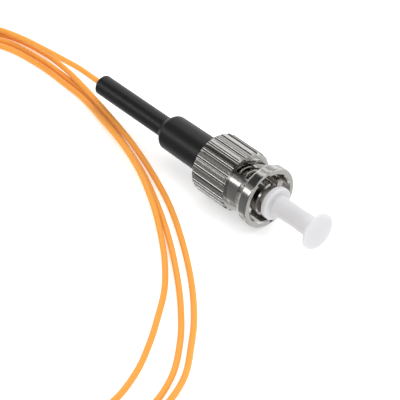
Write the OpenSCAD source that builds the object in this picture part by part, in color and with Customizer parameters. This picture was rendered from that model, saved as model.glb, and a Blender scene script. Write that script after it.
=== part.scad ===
// Bayonet fibre connector on a tight buffered pigtail, lying on its side with its dust cap on.
// Every piece turns about one long axis. In the pieces' own frame that axis is Z, Z = 0 is the
// coupling nut's front rim, +Z points to the ferrule's tip, and angles start straight down and
// turn towards +Y. The module along_axis lays that frame down along the row's +X.

/* [Ferrule and fibre] */
// Diameter of the ceramic ferrule
ferrule_d = 2.5; // [2.4:0.05:2.6]
// Length of ferrule that stands out of the barrel
ferrule_out = 7; // [6:0.25:7.5]
// Length of ferrule held in the barrel
ferrule_seat = 2.2; // [1.8:0.1:2.4]
// Chamfer round the ferrule's tip
tip_chamfer = 0.3; // [0.2:0.05:0.4]
// Diameter of the bare glass fibre
glass_d = 0.125; // [0.12:0.005:0.14]
// Diameter of the buffered fibre
buffer_d = 0.9; // [0.8:0.05:1]
// Bare glass between the buffer's cut end and the ferrule
strip_len = 0.6; // [0.4:0.1:1]

/* [Connector body] */
// Diameter of the front barrel
barrel_d = 5.4; // [5.2:0.1:5.6]
// Length of the front barrel, from its face to the spring's seat
barrel_len = 2.8; // [2.6:0.1:3]
// How far the barrel's face stands out of the nut's mouth
barrel_proud = 0.1; // [0:0.05:0.3]
// Chamfer round the barrel's face
barrel_chamfer = 0.2; // [0.1:0.05:0.3]
// Width of the alignment key
key_w = 1.1; // [0.9:0.1:1.3]
// Height of the key above the barrel
key_h = 0.6; // [0.4:0.05:0.7]
// Length of the key on the barrel
key_len = 1.8; // [1.4:0.1:2.2]
// How deep the key is rooted in the barrel
key_root = 0.4; // [0.3:0.05:0.5]
// How far the key stands past the barrel's face
key_proud = 0.8; // [0.4:0.1:1]
// Angle of the key round the axis
key_angle = 158; // [150:1:166]
// Diameter of the stem that the nut slides on
stem_d = 3.9; // [3.8:0.05:4]
// Length of the stem behind the retaining clip's groove
stem_end = 0.4; // [0.3:0.05:0.5]
// Diameter of the rear post inside the boot
post_d = 3.4; // [3.2:0.1:3.6]
// Length of the rear post
post_len = 5.5; // [5:0.25:6]
// Number of barbs on the rear post
barb_count = 3; // [2:1:4]
// Height of a barb above the post
barb_h = 0.2; // [0.15:0.05:0.25]
// Length of a barb
barb_len = 0.6; // [0.4:0.1:0.8]

/* [Coupling nut] */
// Outer diameter over the knurl's ribs
nut_d = 9.5; // [9.2:0.1:9.6]
// Length of the ribbed grip, without its front chamfer
grip_len = 6.4; // [6:0.1:6.8]
// Chamfer at the front of the grip
bevel_len = 0.3; // [0.2:0.05:0.4]
// Diameter of the neck
neck_d = 8.2; // [8.1:0.05:8.3]
// Length of the neck
neck_len = 2.2; // [2:0.1:2.4]
// Length of the cone from the neck up to the collar
cone_len = 1.4; // [1.2:0.1:1.6]
// Diameter of the collar
collar_d = 9.6; // [9.5:0.1:10]
// Length of the collar
collar_len = 1.4; // [1.2:0.1:1.6]
// Rounding of the collar's front edge
rim_round = 0.3; // [0.2:0.05:0.4]
// Diameter of the mouth
mouth_d = 7.6; // [7.4:0.05:7.65]
// Chamfer inside the mouth
mouth_chamfer = 0.2; // [0.1:0.05:0.3]
// Depth of the mouth's bore
mouth_depth = 5.6; // [5.4:0.1:5.8]
// Depth of the spring's bore behind the mouth
spring_bore_depth = 1.6; // [1.5:0.1:1.8]
// Thickness of the wall that the spring bears on
web_t = 1.2; // [1:0.1:1.4]
// Diameter of the rear recess
recess_d = 6.1; // [6:0.05:6.3]
// Chamfer at the rear of the grip
grip_chamfer = 0.3; // [0.2:0.05:0.5]
// Number of ribs round the grip
rib_count = 24; // [20:2:28]
// Radius of the grooves between the ribs
groove_r = 0.42; // [0.36:0.02:0.46]
// Depth of the grooves
groove_depth = 0.32; // [0.26:0.02:0.36]
// Angle of one groove round the axis
groove_angle = 4.5; // [0:0.5:15]

/* [Bayonet slots] */
// Width of the entry window, round the neck
entry_w = 2.3; // [2.1:0.05:2.5]
// Angle of the middle of the first entry round the axis
entry_angle = 198; // [190:1:206]
// Distance from the rim to the front of the window
entry_front = 1.75; // [1.7:0.05:1.9]
// Depth of the keyways inside the collar
keyway_depth = 0.6; // [0.5:0.05:0.65]
// Turn from the entry to the detent, in degrees
lock_turn = 90; // [84:1:94]
// Distance from the rim to the tip of the bridge
bridge_tip = 3.45; // [3.4:0.05:3.6]
// Distance from the rim to the front edge of the track
track_front = 2.8; // [2.7:0.05:2.9]
// Width of the track
track_w = 1.35; // [1.3:0.05:1.45]
// Width of the detent, round the neck
detent_w = 1.4; // [1.3:0.05:1.6]
// How far the detent reaches forward of the track
detent_step = 0.35; // [0.25:0.05:0.4]
// Turn over which the track slopes forward, in degrees
slope_turn = 24; // [20:1:28]

/* [Spring, washer and clip] */
// Diameter of the spring's wire
wire_d = 0.45; // [0.4:0.01:0.46]
// Turns of the spring
spring_turns = 4; // [3.5:0.25:4.5]
// Closed turns at each end of the spring
closed_turns = 0.8; // [0.75:0.05:1]
// Thickness of the thrust washer
washer_t = 0.3; // [0.2:0.05:0.4]
// Outer diameter of the retaining clip
clip_d = 5.4; // [5.2:0.1:5.6]
// Thickness of the retaining clip
clip_t = 0.35; // [0.3:0.05:0.4]
// Depth of the clip's groove in the stem
clip_groove = 0.35; // [0.3:0.05:0.4]
// Opening of the clip, in degrees
clip_gap = 80; // [60:5:100]

/* [Boot] */
// Diameter of the boot where it enters the nut
boot_d = 5.7; // [5.5:0.05:5.8]
// Diameter of the boot's thick part at its rear
boot_rear_d = 5.5; // [5.3:0.05:5.6]
// Length of the boot's thick part
boot_len = 11.6; // [11:0.2:13]
// Length of the boot's shoulder
shoulder_len = 1.4; // [1.2:0.1:1.6]
// Rounding of the boot's shoulder
shoulder_r = 0.85; // [0.6:0.05:0.9]
// Diameter of the boot's tail at the shoulder
tail_d = 3.2; // [3:0.1:3.4]
// Diameter of the boot's tail at its end
tail_end_d = 3.2; // [2.8:0.1:3.2]
// Length of the boot's tail
tail_len = 15.3; // [12:0.1:18]
// Depth of the ring groove between the shoulder and the tail
tail_groove = 0.15; // [0.1:0.05:0.25]
// Rounding of the boot's end edges
boot_edge = 0.25; // [0.15:0.05:0.35]
// Gap between the retaining clip and the boot
boot_gap = 0.5; // [0.3:0.05:0.7]

/* [Dust cap] */
// Diameter of the cap's base ring
cap_ring_d = 5.1; // [4.9:0.05:5.1]
// Thickness of the cap's base ring
cap_ring_t = 1; // [0.8:0.1:1.2]
// Diameter of the cap's stem at its ends
cap_stem_d = 3.1; // [3.05:0.05:3.3]
// Diameter of the cap's stem at its waist
cap_waist_d = 2.94; // [2.92:0.02:3.04]
// Length of the cap's stem
cap_stem_len = 7.75; // [7.5:0.05:8.5]
// Diameter of the cap's head
cap_head_d = 5.7; // [5.4:0.1:6.2]
// Thickness of the cap's head
cap_head_t = 0.5; // [0.4:0.05:0.7]
// Radius of the fillet between the cap's stem and its base ring
cap_fillet = 0.2; // [0.15:0.05:0.4]
// Radius of the flare between the cap's stem and its head
cap_flare = 1; // [0.6:0.1:1.2]
// Chamfer on the cap's edges
cap_edge = 0.15; // [0.1:0.05:0.2]
// Room in the cap's bore past the ferrule's tip
cap_room = 0.6; // [0.4:0.1:0.8]
// Gap between the cap's ring and the barrel
cap_stand_off = 0.65; // [0.4:0.05:0.8]

/* [Pigtail] */
// Height of the coil's solid, in diameters of the buffered fibre
coil_layers = 2; // [2:1:3]

/* [Fits] */
// Radial clearance of a running fit
run_fit = 0.05; // [0.03:0.01:0.08]
// Radial clearance of a pressed or glued fit
press_fit = 0.01; // [0.01:0.005:0.02]
// Radial clearance of the dust cap on the ferrule
cap_fit = 0.02; // [0.01:0.01:0.04]
// Radial clearance of the fibre in its bores
fibre_fit = 0.05; // [0.03:0.01:0.08]
// Axial gap between faces that bear on each other
face_gap = 0.02; // [0.01:0.01:0.04]

/* [Hidden] */
$fn = 96;
cut = 0.1;            // how far a cutter runs past the face that it cuts
arc_steps = 4;        // straight steps in a rounded edge

// Stations along the axis, from the nut's front rim
neck_front = -collar_len - cone_len;
neck_rear = neck_front - neck_len;
grip_front = neck_rear - bevel_len;
nut_rear = grip_front - grip_len;
web_front = -mouth_depth - spring_bore_depth;
web_rear = web_front - web_t;
barrel_face = barrel_proud;
barrel_rear = barrel_face - barrel_len;
clip_front = web_rear - face_gap;
clip_rear = clip_front - clip_t;
stem_rear = clip_rear - face_gap - stem_end;
boot_front = clip_rear - boot_gap;
post_rear = stem_rear - post_len;
boot_shoulder = boot_front - boot_len;
tail_front = boot_shoulder - shoulder_len;
tail_rear = tail_front - tail_len;
ferrule_tip = barrel_face + ferrule_out;
ferrule_rear = barrel_face - ferrule_seat;
buffer_front = ferrule_rear - strip_len;
cap_base = barrel_face + cap_stand_off;
cap_stem_rear = cap_base + cap_ring_t;
cap_stem_front = cap_stem_rear + cap_stem_len;
cap_front = cap_stem_front + cap_head_t;

// Radii
nut_r = nut_d / 2;
collar_r = collar_d / 2;
neck_r = neck_d / 2;
mouth_r = mouth_d / 2;
barrel_r = barrel_d / 2;
stem_r = stem_d / 2;
spring_bore_r = barrel_r + run_fit;
spring_r = (stem_r + run_fit + spring_bore_r) / 2;
bore_r = buffer_d / 2 + fibre_fit;
glass_bore_r = glass_d / 2 + press_fit;
groove_floor_r = stem_r - clip_groove;
keyway_r = mouth_r + keyway_depth;

// The row's origin is under the middle of the connector, on the surface that it lies on
rim_x = -(cap_front + tail_rear) / 2;
axis_z = max(nut_r, collar_r);

module along_axis() {
    translate([rim_x, 0, axis_z]) rotate([0, 90, 0]) children();
}

// Points of an arc in the profile plane
function arc(centre, r, from, to) = [
    for (i = [0 : arc_steps])
        let (a = from + (to - from) * i / arc_steps)
        centre + r * [cos(a), sin(a)]
];

// A smooth step from 0 to 1 as x goes from a to b
function smooth(x, a, b) = let (t = min(1, max(0, (x - a) / (b - a)))) t * t * (3 - 2 * t);

// Part of a thick ring: radii r0 to r1, stations z0 to z1, angles a0 to a1
module ring_sector(r0, r1, z0, z1, a0, a1) {
    rotate([0, 0, a0]) rotate_extrude(angle = a1 - a0)
        translate([r0, z0]) square([r1 - r0, z1 - z0]);
}

// ---- Coupling nut ----

entry_half = entry_w / neck_r * 90 / PI;
detent_half = detent_w / neck_r * 90 / PI;
lock_angle = entry_angle - lock_turn;
track_lap = 2;        // how far the track opens into the window, in degrees
track_start = entry_angle - entry_half + track_lap;
track_end = lock_angle - detent_half;
track_rise = bridge_tip - track_front;
tip_turn = slope_turn / 4;             // the bridge's tip is level over this turn
detent_front = lock_angle + 1.4 * detent_half;
detent_full = lock_angle + 0.7 * detent_half;
cutter_in = mouth_r - 2 * cut;
cutter_out = axis_z + cut;

// Front and rear edges of the track, as stations for an angle round the axis
function track_front_at(a) = -bridge_tip
    + track_rise * smooth(track_start - a, tip_turn, slope_turn)
    + detent_step * smooth(a, detent_front, detent_full);
function track_rear_at(a) = -bridge_tip - track_w
    + track_rise * smooth(track_start - a, 0, slope_turn);

module nut_blank() {
    rotate_extrude() polygon(concat(
        [
            [recess_d / 2, nut_rear], [nut_r - grip_chamfer, nut_rear],
            [nut_r, nut_rear + grip_chamfer], [nut_r, grip_front],
            [nut_r - bevel_len, neck_rear], [neck_r, neck_rear], [neck_r, neck_front],
            [collar_r, -collar_len]
        ],
        arc([collar_r - rim_round, -rim_round], rim_round, 0, 90),
        [
            [mouth_r + mouth_chamfer, 0], [mouth_r, -mouth_chamfer], [mouth_r, -mouth_depth],
            [spring_bore_r, -mouth_depth], [spring_bore_r, web_front],
            [stem_r + run_fit, web_front], [stem_r + run_fit, web_rear],
            [recess_d / 2, web_rear]
        ]
    ));
}

module rib_grooves() {
    for (i = [0 : rib_count - 1])
        rotate([0, 0, groove_angle + i * 360 / rib_count])
            translate([nut_r + groove_r - groove_depth, 0, nut_rear - cut])
                cylinder(r = groove_r, h = neck_rear - nut_rear + cut, $fn = 24);
}

// The slanted track, swept round the axis in steps
module track_cutter() {
    steps = 24;
    rings = [
        for (i = [0 : steps])
            let (a = track_start + (track_end - track_start) * i / steps)
            for (p = [
                [cutter_in, track_rear_at(a)], [cutter_in, track_front_at(a)],
                [cutter_out, track_front_at(a)], [cutter_out, track_rear_at(a)]
            ]) [p[0] * cos(a), p[0] * sin(a), p[1]]
    ];
    sides = [
        for (i = [0 : steps - 1], j = [0 : 3])
            let (k = (j + 1) % 4, p = 4 * i, q = 4 * i + 4)
            for (f = [[p + j, p + k, q + k], [p + j, q + k, q + j]]) f
    ];
    ends = [[3, 2, 1, 0], [for (j = [0 : 3]) 4 * steps + j]];
    polyhedron(rings, concat(sides, ends), convexity = 4);
}

module bayonet_slot() {
    ring_sector(cutter_in, cutter_out, neck_rear, -entry_front,
        entry_angle - entry_half, entry_angle + entry_half);
    ring_sector(cutter_in, keyway_r, neck_rear, cut,
        entry_angle - entry_half, entry_angle + entry_half);
    track_cutter();
}

module coupling_nut() {
    color([0.78, 0.77, 0.75]) along_axis() difference() {
        nut_blank();
        rib_grooves();
        for (turn = [0, 180]) rotate([0, 0, turn]) bayonet_slot();
    }
}

// ---- Connector body ----

barb_pitch = post_len / (barb_count + 1);
function barb_at(i) = post_rear + barb_len / 2 + i * barb_pitch;

module body_blank() {
    rotate_extrude() polygon(concat(
        [
            [bore_r, post_rear], [post_d / 2, post_rear]
        ],
        [
            for (i = [0 : barb_count - 1], p = [
                [post_d / 2, barb_at(i)], [post_d / 2 + barb_h, barb_at(i) + barb_len],
                [post_d / 2, barb_at(i) + barb_len]
            ]) p
        ],
        [
            [post_d / 2, stem_rear], [stem_r, stem_rear], [stem_r, clip_rear - face_gap],
            [groove_floor_r, clip_rear - face_gap], [groove_floor_r, clip_front + face_gap],
            [stem_r, clip_front + face_gap], [stem_r, barrel_rear], [barrel_r, barrel_rear],
            [barrel_r, barrel_face - barrel_chamfer], [barrel_r - barrel_chamfer, barrel_face],
            [ferrule_d / 2 + press_fit, barrel_face], [ferrule_d / 2 + press_fit, ferrule_rear],
            [bore_r, buffer_front]
        ]
    ));
}

// The key grows out of the barrel and stands past its face, clear of the cap's ring
module alignment_key() {
    difference() {
        rotate([0, 0, key_angle])
            translate([barrel_r - key_root, -key_w / 2, barrel_face - key_len])
                cube([key_root + key_h, key_w, key_len + key_proud]);
        translate([0, 0, barrel_face])
            cylinder(r = cap_ring_d / 2 + run_fit, h = key_proud + cut);
    }
}

module connector_body() {
    color([0.72, 0.71, 0.69]) along_axis() union() {
        body_blank();
        alignment_key();
    }
}

// ---- Ferrule and fibre ----

funnel_r = bore_r / 2;                 // the funnel that leads the glass into the ferrule

module ferrule() {
    color([0.95, 0.94, 0.91]) along_axis() rotate_extrude() polygon([
        [glass_bore_r, ferrule_rear + face_gap + funnel_r], [funnel_r, ferrule_rear + face_gap],
        [ferrule_d / 2 - tip_chamfer, ferrule_rear + face_gap],
        [ferrule_d / 2, ferrule_rear + face_gap + tip_chamfer],
        [ferrule_d / 2, ferrule_tip - tip_chamfer],
        [ferrule_d / 2 - tip_chamfer, ferrule_tip],
        [glass_bore_r, ferrule_tip]
    ]);
}

module glass_fibre() {
    color([0.8, 0.86, 0.88]) along_axis() translate([0, 0, buffer_front + face_gap])
        cylinder(d = glass_d, h = ferrule_tip - buffer_front - face_gap, $fn = 24);
}

module buffered_fibre() {
    color([0.97, 0.6, 0.22]) along_axis() translate([0, 0, tail_rear])
        cylinder(d = buffer_d, h = buffer_front - tail_rear, $fn = 32);
}

// ---- Spring, washer and clip ----

// The spring's wire, swept along a helix whose end turns lie closed
module spring() {
    sides = 8;
    steps = 20 * spring_turns;
    low = web_front + washer_t + face_gap + wire_d / 2;
    high = barrel_rear - face_gap - wire_d / 2;
    closed = wire_d + 2 * face_gap;
    open_rise = high - low - 2 * closed * closed_turns;
    open_turns = spring_turns - 2 * closed_turns;
    function rise(t) = low + closed * min(t, closed_turns)
        + open_rise * min(1, max(0, (t - closed_turns) / open_turns))
        + closed * max(0, t - spring_turns + closed_turns);
    rings = [
        for (i = [0 : steps], j = [0 : sides - 1])
            let (t = spring_turns * i / steps, a = 360 * t, b = 360 * (j + 0.5) / sides,
                r = spring_r + wire_d / 2 * cos(b))
            [r * cos(a), r * sin(a), rise(t) + wire_d / 2 * sin(b)]
    ];
    walls = [
        for (i = [0 : steps - 1], j = [0 : sides - 1])
            let (k = (j + 1) % sides, p = sides * i, q = sides * i + sides)
            for (f = [[p + j, p + k, q + k], [p + j, q + k, q + j]]) f
    ];
    ends = [
        [for (j = [sides - 1 : -1 : 0]) j],
        [for (j = [0 : sides - 1]) sides * steps + j]
    ];
    color([0.62, 0.6, 0.56]) along_axis()
        polyhedron(rings, concat(walls, ends), convexity = 10);
}

module thrust_washer() {
    color([0.68, 0.68, 0.68]) along_axis() translate([0, 0, web_front])
        difference() {
            cylinder(r = spring_bore_r - run_fit, h = washer_t);
            translate([0, 0, -cut]) cylinder(r = stem_r + run_fit, h = washer_t + 2 * cut);
        }
}

module retaining_clip() {
    color([0.5, 0.5, 0.5]) along_axis()
        ring_sector(groove_floor_r + press_fit, clip_d / 2, clip_rear, clip_front,
            clip_gap / 2, 360 - clip_gap / 2);
}

// ---- Boot ----

module boot() {
    color([0.12, 0.12, 0.13]) along_axis() difference() {
        rotate_extrude() polygon(concat(
            [
                [bore_r, tail_rear], [tail_end_d / 2 - boot_edge, tail_rear],
                [tail_end_d / 2, tail_rear + boot_edge],
                [tail_d / 2, tail_front - 2 * tail_groove],
                [tail_d / 2 - tail_groove, tail_front - tail_groove],
                [tail_d / 2 - tail_groove, tail_front],
                [boot_rear_d / 2 - shoulder_r, tail_front]
            ],
            arc([boot_rear_d / 2 - shoulder_r, boot_shoulder], shoulder_r, -60, 0),
            [
                [boot_d / 2, boot_front - boot_edge], [boot_d / 2 - boot_edge, boot_front],
                [bore_r, boot_front]
            ]
        ));
        post_socket();
    }
}

// The cavity that holds the stem's end and the barbed post
module post_socket() {
    translate([0, 0, stem_rear - press_fit])
        cylinder(r = stem_r + press_fit, h = boot_front - stem_rear + cut);
    translate([0, 0, post_rear - press_fit])
        cylinder(r = post_d / 2 + barb_h + press_fit, h = stem_rear - post_rear);
}

// ---- Dust cap ----

module dust_cap() {
    waist_z = (cap_stem_rear + cap_stem_front) / 2;
    ring_r = cap_ring_d / 2;
    head_r = cap_head_d / 2;
    color([0.93, 0.93, 0.95]) along_axis() difference() {
        rotate_extrude() polygon(concat(
            [
                [0, cap_base], [ring_r - cap_edge, cap_base], [ring_r, cap_base + cap_edge],
                [ring_r, cap_stem_rear - cap_edge], [ring_r - cap_edge, cap_stem_rear]
            ],
            arc([cap_stem_d / 2 + cap_fillet, cap_stem_rear + cap_fillet], cap_fillet, 270, 180),
            [[cap_waist_d / 2, waist_z]],
            arc([cap_stem_d / 2 + cap_flare, cap_stem_front - cap_flare], cap_flare, 180, 90),
            [
                [head_r - cap_edge, cap_stem_front], [head_r, cap_stem_front + cap_edge],
                [head_r, cap_front - cap_edge], [head_r - cap_edge, cap_front], [0, cap_front]
            ]
        ));
        translate([0, 0, cap_base - cut])
            cylinder(r = ferrule_d / 2 + cap_fit, h = ferrule_tip + cap_room - cap_base + cut);
    }
}

// ---- Pigtail ----

exit_x = rim_x + tail_rear;
coil_centre = [6.3, -36];

// The way from the boot down to the surface: x and y from the boot's exit, z above the surface
lead_route = [
    [0, 0, axis_z], [-2.2, 0, axis_z], [-5.7, 0.1, 4.7], [-9.7, 0.3, 4.1], [-15.7, 0.7, 3],
    [-21.7, 0.8, 2], [-27.7, -0.3, 1.35], [-33.7, -3.6, 0.8]
];

// The coil's outermost and innermost turns, as seen from above, from coil_at
coil_at = [exit_x + 0.2, 0.3];
outer_turn = [
    [-33.2, -4.5], [-39.2, -9.8], [-42, -18], [-43, -28], [-41.5, -38.5], [-36.8, -49],
    [-28.8, -58], [-18, -65], [-5.5, -69.6], [8.8, -71], [23, -69], [36, -64], [47.5, -56],
    [54.3, -47.5], [56.3, -38.5], [53.9, -31.2], [49.1, -25.4], [40.1, -17.5], [32.4, -12.5],
    [24.4, -8.2], [16.6, -5.2], [2.9, -1.7], [-10.4, 0.9], [-17.7, 1.8], [-25.7, 0.4]
];
inner_turn = [
    [-30.7, -6.4], [-36.6, -11.6], [-39, -19.2], [-39.9, -28.5], [-38.4, -38.3], [-34.1, -48],
    [-26.7, -56], [-16.6, -62.2], [-4.7, -66.6], [8.6, -67.9], [21.9, -66], [34, -61.3],
    [44.8, -54.1], [50.2, -47.6], [50.9, -41.2], [48.7, -34.9], [45.3, -29.5], [38.5, -21.1],
    [29.8, -14.3], [20.6, -9.5], [9.1, -5.3], [-4, -2], [-15.7, -1], [-23.7, -2.2]
];

// A smooth curve through four points, from the second to the third, and one through a closed list
function between(p, q, r, s, t) = (2 * q + (r - p) * t + (2 * p - 5 * q + 4 * r - s) * t * t
    + (3 * q - p - 3 * r + s) * t * t * t) / 2;
function closed_curve(points, steps) = [
    for (i = [0 : len(points) - 1], j = [0 : steps - 1])
        let (n = len(points))
        between(points[(i + n - 1) % n], points[i], points[(i + 1) % n], points[(i + 2) % n], j / steps)
];
function open_curve(points, steps) = concat(
    [
        for (i = [0 : len(points) - 2], j = [0 : steps - 1])
            let (n = len(points), p = points[max(i - 1, 0)], s = points[min(i + 2, n - 1)])
            between(p, points[i], points[i + 1], s, j / steps)
    ],
    [points[len(points) - 1]]
);
// Points moved away from the coil's middle
function moved_out(points, by) = [
    for (p = points) p + by * (p - coil_centre) / norm(p - coil_centre)
];

module pigtail_lead() {
    sides = 8;
    path = open_curve(lead_route, 2);
    last = len(path) - 1;
    rings = [
        for (i = [0 : last])
            let (d = path[min(i + 1, last)] - path[max(i - 1, 0)], along = d / norm(d),
                side = [-along[1], along[0], 0] / norm([along[0], along[1]]),
                up = cross(side, along))
            for (j = [0 : sides - 1])
                let (b = 360 * (j + 0.5) / sides)
                path[i] + buffer_d / 2 * (cos(b) * side + sin(b) * up)
    ];
    walls = [
        for (i = [0 : last - 1], j = [0 : sides - 1])
            let (k = (j + 1) % sides, p = sides * i, q = sides * i + sides)
            for (f = [[p + j, p + k, q + k], [p + j, q + k, q + j]]) f
    ];
    ends = [
        [for (j = [sides - 1 : -1 : 0]) j],
        [for (j = [0 : sides - 1]) sides * last + j]
    ];
    color([0.97, 0.6, 0.22]) translate([exit_x, 0, 0])
        polyhedron(rings, concat(walls, ends), convexity = 6);
}

module pigtail_coil() {
    color([0.97, 0.6, 0.22]) translate(coil_at)
        linear_extrude(coil_layers * buffer_d) difference() {
            polygon(closed_curve(moved_out(outer_turn, buffer_d / 2), 3));
            polygon(closed_curve(moved_out(inner_turn, -buffer_d / 2), 3));
        }
}

coupling_nut();
connector_body();
ferrule();
glass_fibre();
buffered_fibre();
spring();
thrust_washer();
retaining_clip();
boot();
dust_cap();
pigtail_lead();
pigtail_coil();
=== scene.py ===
"""Looks of the bayonet fibre connector: materials, the coiled pigtail, floor, light and camera."""

import math

import bpy
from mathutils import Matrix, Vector


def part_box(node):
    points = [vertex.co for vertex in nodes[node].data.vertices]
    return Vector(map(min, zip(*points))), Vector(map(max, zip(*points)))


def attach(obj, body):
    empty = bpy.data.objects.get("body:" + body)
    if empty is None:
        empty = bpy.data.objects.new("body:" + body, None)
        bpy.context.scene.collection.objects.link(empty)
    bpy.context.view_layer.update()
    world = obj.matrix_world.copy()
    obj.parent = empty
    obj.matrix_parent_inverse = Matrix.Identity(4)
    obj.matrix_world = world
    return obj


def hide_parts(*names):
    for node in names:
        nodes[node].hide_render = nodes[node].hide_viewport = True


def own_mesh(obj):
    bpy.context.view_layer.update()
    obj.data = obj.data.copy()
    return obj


MM = 0.001

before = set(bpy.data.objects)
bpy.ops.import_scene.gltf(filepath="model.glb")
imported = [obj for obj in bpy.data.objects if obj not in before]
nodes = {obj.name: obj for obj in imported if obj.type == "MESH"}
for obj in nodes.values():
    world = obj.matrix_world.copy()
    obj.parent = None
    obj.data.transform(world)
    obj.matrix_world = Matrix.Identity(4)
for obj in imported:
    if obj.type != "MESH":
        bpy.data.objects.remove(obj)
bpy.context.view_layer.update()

# ---- Places that the rest is worked out from ----

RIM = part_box("coupling_nut")[1].x          # the coupling nut's front rim
cap_low, cap_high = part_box("dust_cap")
AXIS_Z = cap_low.z + (cap_high.z - cap_low.z) / 2
EXIT = Vector((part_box("boot")[0].x, 0, AXIS_Z))   # where the fibre leaves the boot


# ---- Materials ----

NOISE_LOW, NOISE_HIGH = 0.3, 0.7   # most of a noise texture's values lie between these


class Material:
    """A node material with a Principled shader, and short calls for the nodes that feed it."""

    def __init__(self, name, **sockets):
        self.data = bpy.data.materials.new(name)
        self.data.use_nodes = True
        self.nodes = self.data.node_tree.nodes
        self.shader = self.nodes["Principled BSDF"]
        for socket, value in sockets.items():
            self.shader.inputs[socket.replace("_", " ")].default_value = value

    def link(self, source, target):
        self.data.node_tree.links.new(source, target)

    def noise(self, size, detail=3.0):
        """Noise whose grain is about size metres across."""
        place = self.nodes.new("ShaderNodeTexCoord")
        texture = self.nodes.new("ShaderNodeTexNoise")
        texture.inputs["Scale"].default_value = 1 / size
        texture.inputs["Detail"].default_value = detail
        self.link(place.outputs["Object"], texture.inputs["Vector"])
        return texture.outputs["Fac"]

    def ramp(self, value, low, high, socket):
        """Feeds a shader socket with a noise value, taken from its usual range to low..high."""
        ramp = self.nodes.new("ShaderNodeMapRange")
        ramp.inputs["From Min"].default_value = NOISE_LOW
        ramp.inputs["From Max"].default_value = NOISE_HIGH
        ramp.inputs["To Min"].default_value = low
        ramp.inputs["To Max"].default_value = high
        self.link(value, ramp.inputs["Value"])
        self.link(ramp.outputs["Result"], self.shader.inputs[socket])

    def colours(self, value, first, second):
        """Feeds the base colour with a mix of two colours."""
        mix = self.nodes.new("ShaderNodeMix")
        mix.data_type = "RGBA"
        self.link(value, mix.inputs["Factor"])
        mix.inputs["A"].default_value = (*first, 1)
        mix.inputs["B"].default_value = (*second, 1)
        self.link(mix.outputs["Result"], self.shader.inputs["Base Color"])

    def bump(self, value, height):
        """Bump of the given height in metres."""
        bump = self.nodes.new("ShaderNodeBump")
        bump.inputs["Distance"].default_value = height
        self.link(value, bump.inputs["Height"])
        self.link(bump.outputs["Normal"], self.shader.inputs["Normal"])


def nickel(name, tint, rough, grain):
    m = Material(name, Metallic=1.0, Roughness=rough)
    m.colours(m.noise(0.9 * MM), tuple(0.9 * c for c in tint), tint)
    m.ramp(m.noise(0.25 * MM), rough * 0.7, rough * 1.4, "Roughness")
    m.bump(m.noise(0.12 * MM, 4), grain)
    return m.data


def orange_buffer():
    m = Material("orange_buffer", Roughness=0.42)
    m.shader.inputs["Specular IOR Level"].default_value = 0.4
    m.colours(m.noise(3 * MM), (0.90, 0.35, 0.045), (0.94, 0.40, 0.06))
    m.bump(m.noise(0.3 * MM), 0.004 * MM)
    return m.data


def boot_rubber():
    m = Material("boot_rubber", Roughness=0.4)
    m.shader.inputs["Specular IOR Level"].default_value = 0.5
    m.colours(m.noise(1.5 * MM), (0.007, 0.007, 0.008), (0.01, 0.01, 0.011))
    m.ramp(m.noise(0.3 * MM), 0.34, 0.44, "Roughness")
    m.bump(m.noise(0.2 * MM), 0.006 * MM)
    return m.data


def cap_plastic():
    m = Material("cap_plastic", Roughness=0.35)
    m.colours(m.noise(2 * MM), (0.66, 0.66, 0.68), (0.70, 0.70, 0.715))
    m.shader.inputs["Subsurface Weight"].default_value = 0.5
    m.shader.inputs["Subsurface Radius"].default_value = (1.0, 1.0, 1.0)
    m.shader.inputs["Subsurface Scale"].default_value = 1.0 * MM
    m.bump(m.noise(0.4 * MM), 0.004 * MM)
    return m.data


def ceramic():
    m = Material("zirconia", Roughness=0.12)
    m.colours(m.noise(1 * MM), (0.86, 0.85, 0.8), (0.9, 0.89, 0.85))
    return m.data


def glass():
    m = Material("fibre_glass", Roughness=0.05)
    m.shader.inputs["Transmission Weight"].default_value = 0.9
    m.colours(m.noise(0.5 * MM), (0.85, 0.92, 0.95), (0.9, 0.95, 0.97))
    return m.data


def dress(node, material):
    for slot in nodes[node].material_slots:
        slot.material = material
    if not nodes[node].material_slots:
        nodes[node].data.materials.append(material)


def soften_edges(node, width):
    """Rounds a node's sharp edges a little, so that they catch the light."""
    bevel = nodes[node].modifiers.new("edges", "BEVEL")
    bevel.width = width
    bevel.segments = 2
    bevel.limit_method = "ANGLE"
    bevel.angle_limit = math.radians(30)
    bevel.harden_normals = True


orange = orange_buffer()
dress("coupling_nut", nickel("nut_nickel", (0.62, 0.61, 0.59), 0.11, 0.008 * MM))
dress("connector_body", nickel("body_nickel", (0.60, 0.575, 0.54), 0.14, 0.009 * MM))
dress("thrust_washer", nickel("washer_steel", (0.66, 0.65, 0.63), 0.3, 0.002 * MM))
dress("retaining_clip", nickel("clip_steel", (0.6, 0.59, 0.57), 0.32, 0.002 * MM))
dress("ferrule", ceramic())
dress("glass_fibre", glass())
dress("buffered_fibre", orange)
dress("boot", boot_rubber())
dress("dust_cap", cap_plastic())
soften_edges("coupling_nut", 0.06 * MM)


# ---- The spring: round wire in a helix, with closed turns at each end ----

WIRE_D = 0.45 * MM
TURNS = 4
CLOSED_TURNS = 0.8                 # turns that lie closed at each end
CLOSED_GAP = 0.04 * MM
CLOSED_PITCH = WIRE_D + CLOSED_GAP
STEPS_PER_TURN = 48
WIRE_SIDES = 12


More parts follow.
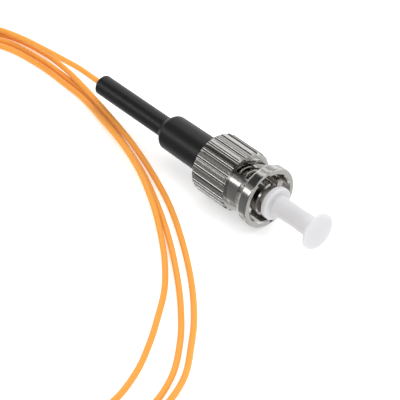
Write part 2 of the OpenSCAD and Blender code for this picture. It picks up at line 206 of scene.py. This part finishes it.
def spring():
    """A helix of round wire in the spring's box."""
    low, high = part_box("spring")
    radius = (high.y - low.y - WIRE_D) / 2
    start, end = low.x + WIRE_D / 2, high.x - WIRE_D / 2
    open_pitch = (end - start - 2 * CLOSED_TURNS * CLOSED_PITCH) / (TURNS - 2 * CLOSED_TURNS)
    steps, sides = STEPS_PER_TURN * TURNS, WIRE_SIDES
    points, faces = [], []
    for i in range(steps + 1):
        turn = TURNS * i / steps
        opened = min(max(turn - CLOSED_TURNS, 0), TURNS - 2 * CLOSED_TURNS)
        x = start + opened * open_pitch + (turn - opened) * CLOSED_PITCH
        around = math.tau * turn
        for j in range(sides):
            wire = math.tau * j / sides
            r = radius + WIRE_D / 2 * math.cos(wire)
            points.append((x + WIRE_D / 2 * math.sin(wire), r * math.sin(around),
                           AXIS_Z - r * math.cos(around)))
    for i in range(steps):
        for j in range(sides):
            a, b = sides * i + j, sides * i + (j + 1) % sides
            faces.append((a, b, b + sides, a + sides))
    faces.append(tuple(reversed(range(sides))))
    faces.append(tuple(range(sides * steps, sides * (steps + 1))))
    mesh = bpy.data.meshes.new("coil_spring")
    mesh.from_pydata(points, [], faces)
    for polygon in mesh.polygons:
        polygon.use_smooth = len(polygon.vertices) == 4
    mesh.materials.append(nickel("spring_steel", (0.7, 0.68, 0.64), 0.2, 0.002 * MM))
    piece = bpy.data.objects.new("coil_spring", mesh)
    bpy.context.scene.collection.objects.link(piece)
    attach(piece, "root")
    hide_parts("spring")
    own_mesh(piece)


spring()


# ---- The pigtail: one 0.9 mm fibre, laid down from the boot into a flat coil ----

FIBRE_D = 0.9 * MM
LYING = FIBRE_D / 2 / MM           # height of the fibre's middle where it lies on the floor

# All in millimetres: LEAD has x and y from the boot's exit, the coil has them from COIL_AT, which
# is itself from the exit, and z is above the floor
TURN_STEP = 1.05                   # how far each hidden turn lies inside the one before
COIL_AT = Vector((0.2, 0.3))
COIL_CENTRE = Vector((6.3, -36))
LEAD = [
    (0, 0, AXIS_Z / MM), (-2.2, 0, AXIS_Z / MM), (-5.7, 0.1, 4.7), (-9.7, 0.3, 4.1), (-15.7, 0.7, 3),
    (-21.7, 0.8, 2.0), (-27.7, -0.3, 1.35), (-33.7, -3.6, 0.8)
]
BACK_TURN = [
    (-39.2, -9.8), (-42, -18), (-43, -28), (-41.5, -38.5), (-36.8, -49), (-28.8, -58),
    (-18, -65), (-5.5, -69.6), (8.8, -71), (23, -69), (36, -64), (47.5, -56)
]
FRONT_TURNS = [
    [(54.3, -47.5, .45), (56.3, -38.5, .45), (53.9, -31.2, .45), (49.1, -25.4, .45),
     (45.6, -21.9, .45), (40.1, -17.5, .45), (32.4, -12.5, .45), (24.4, -8.2, .45),
     (16.6, -5.2, .7), (10.2, -3.4, 1.2), (2.9, -1.7, 1.35), (-4.6, -0.1, 1.35),
     (-10.4, 0.9, 1.3), (-17.7, 1.8, .6), (-25.7, 0.4, .45), (-33.2, -4.9, .45)],
    [(53.2, -47.2, .45), (55.0, -38.8, .45), (52.6, -32.2, .45), (48, -26.5, .45),
     (43.1, -22.1, .45), (37.2, -17.7, .45), (30.5, -13.4, .45), (23.7, -9.7, .45),
     (16.5, -6.4, .45), (8, -3.5, .45), (1.4, -1.6, .45), (-4.6, -0.2, .45),
     (-9.8, 0.3, .45), (-16.7, 0.4, .45), (-24.7, -0.8, .45), (-31.9, -5.6, .45)],
    [(50.2, -47.6, .45), (50.9, -41.2, .45), (48.7, -34.9, .45), (45.3, -29.5, .45),
     (42.3, -25.6, .45), (38.5, -21.1, .45), (33.9, -17.1, .45), (29.8, -14.2, .5),
     (25.7, -11.7, 1.0), (20.6, -9, 1.25), (15.5, -6.7, 1.35), (9.1, -4.6, 1.35),
     (3.3, -3.1, 1.1), (-4, -1.3, .6), (-8.3, -0.9, .45), (-15.7, -0.7, .45),
     (-23.7, -1.9, .45), (-30.7, -6.4, .45)],
]


def back_turn(turn):
    """The hidden half of a turn of the coil, lying on the floor."""
    points = []
    for x, y in BACK_TURN:
        inward = (COIL_CENTRE - Vector((x, y))).normalized() * TURN_STEP * turn
        points.append((x + inward.x, y + inward.y, LYING))
    return points


def route():
    """The pigtail's points in metres, from the boot's exit to its bare end."""
    coil = []
    for turn, front in enumerate(FRONT_TURNS):
        coil += back_turn(turn) + front
    coil += back_turn(len(FRONT_TURNS))
    points = LEAD + [(x + COIL_AT.x, y + COIL_AT.y, z) for x, y, z in coil]
    return [Vector((EXIT.x + x * MM, y * MM, z * MM)) for x, y, z in points]


def smooth_line(points, steps):
    """A centripetal Catmull-Rom line through the points."""
    ends = [2 * points[0] - points[1], *points, 2 * points[-1] - points[-2]]
    line = []
    for p0, p1, p2, p3 in zip(ends, ends[1:], ends[2:], ends[3:]):
        t1 = (p1 - p0).length ** 0.5
        t2 = t1 + (p2 - p1).length ** 0.5
        t3 = t2 + (p3 - p2).length ** 0.5
        for i in range(steps):
            t = t1 + (t2 - t1) * i / steps
            a1 = p0.lerp(p1, t / t1)
            a2 = p1.lerp(p2, (t - t1) / (t2 - t1))
            a3 = p2.lerp(p3, (t - t2) / (t3 - t2))
            b1 = a1.lerp(a2, t / t2)
            b2 = a2.lerp(a3, (t - t1) / (t3 - t1))
            line.append(b1.lerp(b2, (t - t1) / (t2 - t1)))
    line.append(points[-1])
    return line


def pigtail():
    line = smooth_line(route(), 6)
    curve = bpy.data.curves.new("pigtail", "CURVE")
    curve.dimensions = "3D"
    curve.bevel_depth = FIBRE_D / 2
    curve.bevel_resolution = 5
    curve.use_fill_caps = True
    spline = curve.splines.new("POLY")
    spline.points.add(len(line) - 1)
    for point, place in zip(spline.points, line):
        point.co = (*place, 1)
    spline.use_smooth = True
    curve.materials.append(orange)
    piece = bpy.data.objects.new("pigtail", curve)
    bpy.context.scene.collection.objects.link(piece)
    piece.visible_glossy = False
    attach(piece, "root")
    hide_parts("pigtail_lead", "pigtail_coil")


pigtail()


# ---- Floor, light and camera ----

FLOOR_SIZE = 2.4
FLOOR_GLOW = 0.4                   # lifts the paper to white


def floor():
    bpy.ops.mesh.primitive_plane_add(size=FLOOR_SIZE, location=(0, 0, 0))
    plane = bpy.context.object
    plane.name = "floor"
    m = Material("floor_paper", Roughness=0.9)
    m.shader.inputs["Specular IOR Level"].default_value = 0.1
    m.colours(m.noise(40 * MM), (0.93, 0.93, 0.93), (0.95, 0.95, 0.95))
    m.shader.inputs["Emission Color"].default_value = (1, 1, 1, 1)
    m.shader.inputs["Emission Strength"].default_value = FLOOR_GLOW
    plane.data.materials.append(m.data)
    plane.visible_glossy = False


def softbox(name, place, size, power):
    """A soft lamp aimed at the origin, which the metal doesn't mirror."""
    light = bpy.data.lights.new(name, "AREA")
    light.shape = "RECTANGLE"
    light.size, light.size_y = size
    light.energy = power
    lamp = bpy.data.objects.new(name, light)
    lamp.location = place
    lamp.rotation_mode = "QUATERNION"
    lamp.rotation_quaternion = (-Vector(place)).to_track_quat("-Z", "Y")
    lamp.visible_glossy = False
    bpy.context.scene.collection.objects.link(lamp)


# What the metal mirrors: strips that run along the connector, each with how bright it is, by
# their angle in degrees: 0 at the near horizon, 90 overhead, 180 at the far one, negative below
STRIPS = [
    (-180, 0.8), (-125, 0.75), (-100, 0.8), (-84, 0.55), (-76, 0.4), (-70, 1.4), (-64, 0.4),
    (-50, 0.24), (-20, 0.2), (8, 0.16), (19, 0.25), (24, 2.6), (31, 2.6), (36, 0.3), (46, 0.3),
    (54, 0.06), (96, 0.05), (103, 1.2), (112, 0.9), (118, 0.45), (124, 0.5), (130, 1.6),
    (136, 0.5), (150, 0.6), (168, 1.2), (180, 1.3)
]
ROOM_LIGHT = 0.75                  # how bright the room is for everything but mirrored light


def room():
    """Even light all round, and for what mirrors it a tent of long strips round the X axis."""
    world = bpy.data.worlds.new("room")
    bpy.context.scene.world = world
    world.use_nodes = True
    tree = world.node_tree
    place = tree.nodes.new("ShaderNodeTexCoord")
    split = tree.nodes.new("ShaderNodeSeparateXYZ")
    near = tree.nodes.new("ShaderNodeMath")
    near.operation = "MULTIPLY"
    near.inputs[1].default_value = -1
    angle = tree.nodes.new("ShaderNodeMath")
    angle.operation = "ARCTAN2"
    share = tree.nodes.new("ShaderNodeMapRange")
    share.inputs["From Min"].default_value = -math.pi
    share.inputs["From Max"].default_value = math.pi
    ramp = tree.nodes.new("ShaderNodeValToRGB")
    stops = ramp.color_ramp.elements
    for (degrees, _), stop in zip((STRIPS[0], STRIPS[-1]), stops):
        stop.position = (degrees + 180) / 360
    for degrees, _ in STRIPS[1:-1]:
        stops.new((degrees + 180) / 360)
    for (_, value), stop in zip(STRIPS, stops):
        stop.color = (value, value, value, 1)
    tree.links.new(place.outputs["Generated"], split.inputs["Vector"])
    tree.links.new(split.outputs["Y"], near.inputs[0])
    tree.links.new(split.outputs["Z"], angle.inputs[0])
    tree.links.new(near.outputs["Value"], angle.inputs[1])
    tree.links.new(angle.outputs["Value"], share.inputs["Value"])
    tree.links.new(share.outputs["Result"], ramp.inputs["Fac"])
    path = tree.nodes.new("ShaderNodeLightPath")
    mix = tree.nodes.new("ShaderNodeMix")
    mix.data_type = "RGBA"
    mix.inputs["A"].default_value = (ROOM_LIGHT, ROOM_LIGHT, ROOM_LIGHT, 1)
    tree.links.new(path.outputs["Is Glossy Ray"], mix.inputs["Factor"])
    tree.links.new(ramp.outputs["Color"], mix.inputs["B"])
    tree.links.new(mix.outputs["Result"], tree.nodes["Background"].inputs["Color"])


def camera():
    data = bpy.data.cameras.new("camera")
    data.sensor_width = 36
    data.lens = 184.6
    data.clip_start = 0.01
    data.clip_end = 10
    cam = bpy.data.objects.new("camera", data)
    place = Vector((RIM + 164.5 * MM, -158.6 * MM, 187.1 * MM))
    target = Vector((RIM - 10.85 * MM, -3.66 * MM, 0.05 * MM))
    cam.location = place
    cam.rotation_mode = "QUATERNION"
    cam.rotation_quaternion = (target - place).to_track_quat("-Z", "Y")
    bpy.context.scene.collection.objects.link(cam)
    bpy.context.scene.camera = cam


floor()
softbox("key", (0.1, 0.3, 0.6), (0.6, 0.6), 2.2)
softbox("fill", (-0.3, -0.2, 0.6), (0.6, 0.6), 0.8)
room()
camera()
bpy.context.scene.view_settings.view_transform = "Standard"
